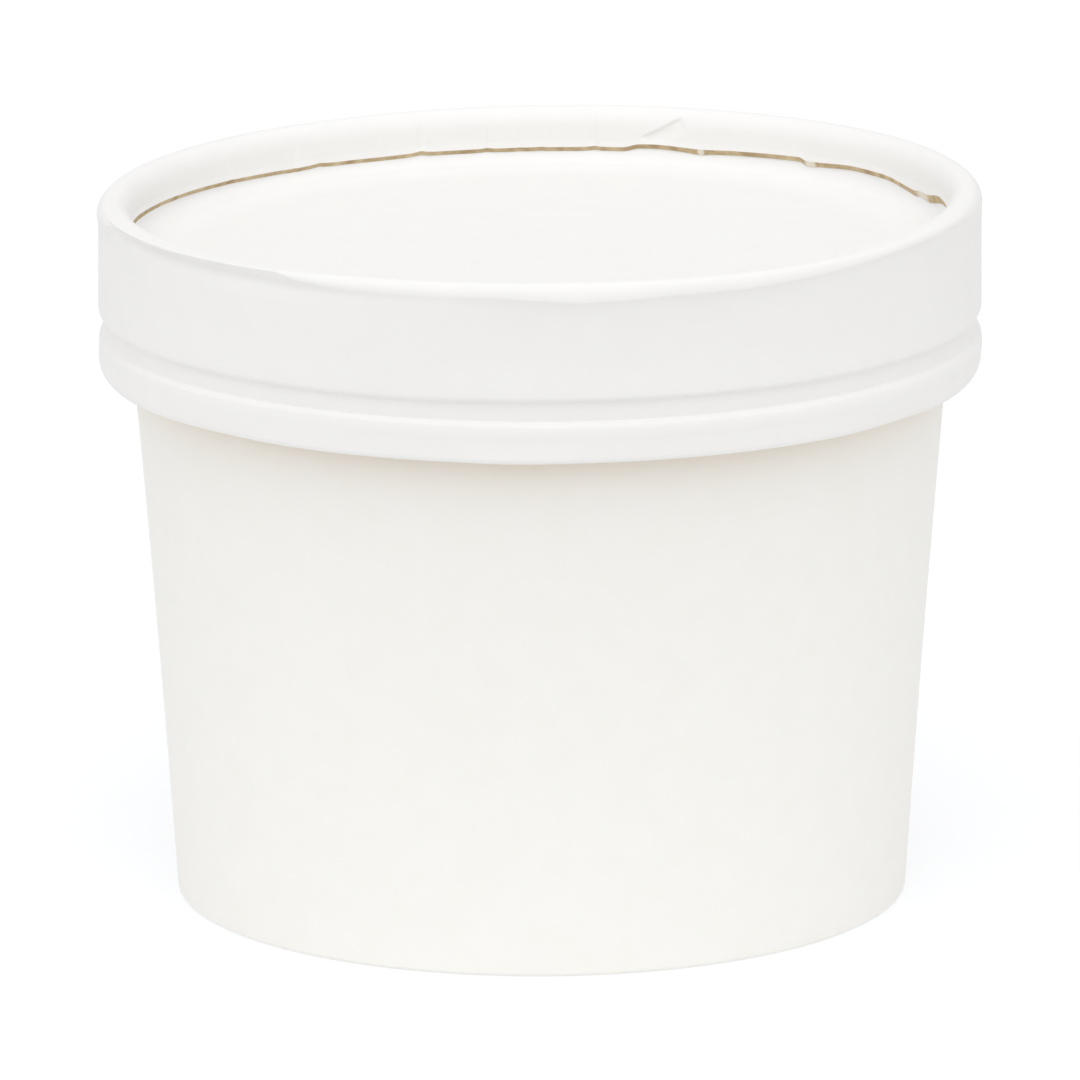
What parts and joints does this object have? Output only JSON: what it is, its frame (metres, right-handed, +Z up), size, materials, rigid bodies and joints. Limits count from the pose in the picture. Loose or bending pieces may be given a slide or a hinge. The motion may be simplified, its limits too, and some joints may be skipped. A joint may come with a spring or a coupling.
{
  "type": "paper soup cup",
  "caption": "Shut paper soup cup: a tapered paperboard cup on a recessed foot, under a rolled paper lid with a grooved skirt and a sunken panel.",
  "frame": {"origin": "centre of the foot, on the surface that the cup stands on", "axes": "+Z up the cup's axis, -Y towards the front of the cup, +X to the side where the lid's rim sits slightly higher"},
  "size_m": [0.1, 0.1, 0.0812],
  "materials": {
    "cup_paper": "coated white cupstock paperboard, matte, faintly warm",
    "base_paper": "uncoated white paperboard, matte",
    "lid_band_paper": "white paperboard, matte, with a raw kraft-brown cut edge",
    "lid_panel_paper": "white paperboard, matte"
  },
  "bodies": {
    "root": {"cup_body": "cup_paper", "cup_base": "base_paper", "lid_band": "lid_band_paper", "lid_panel": "lid_panel_paper"}
  },
  "joints": []
}
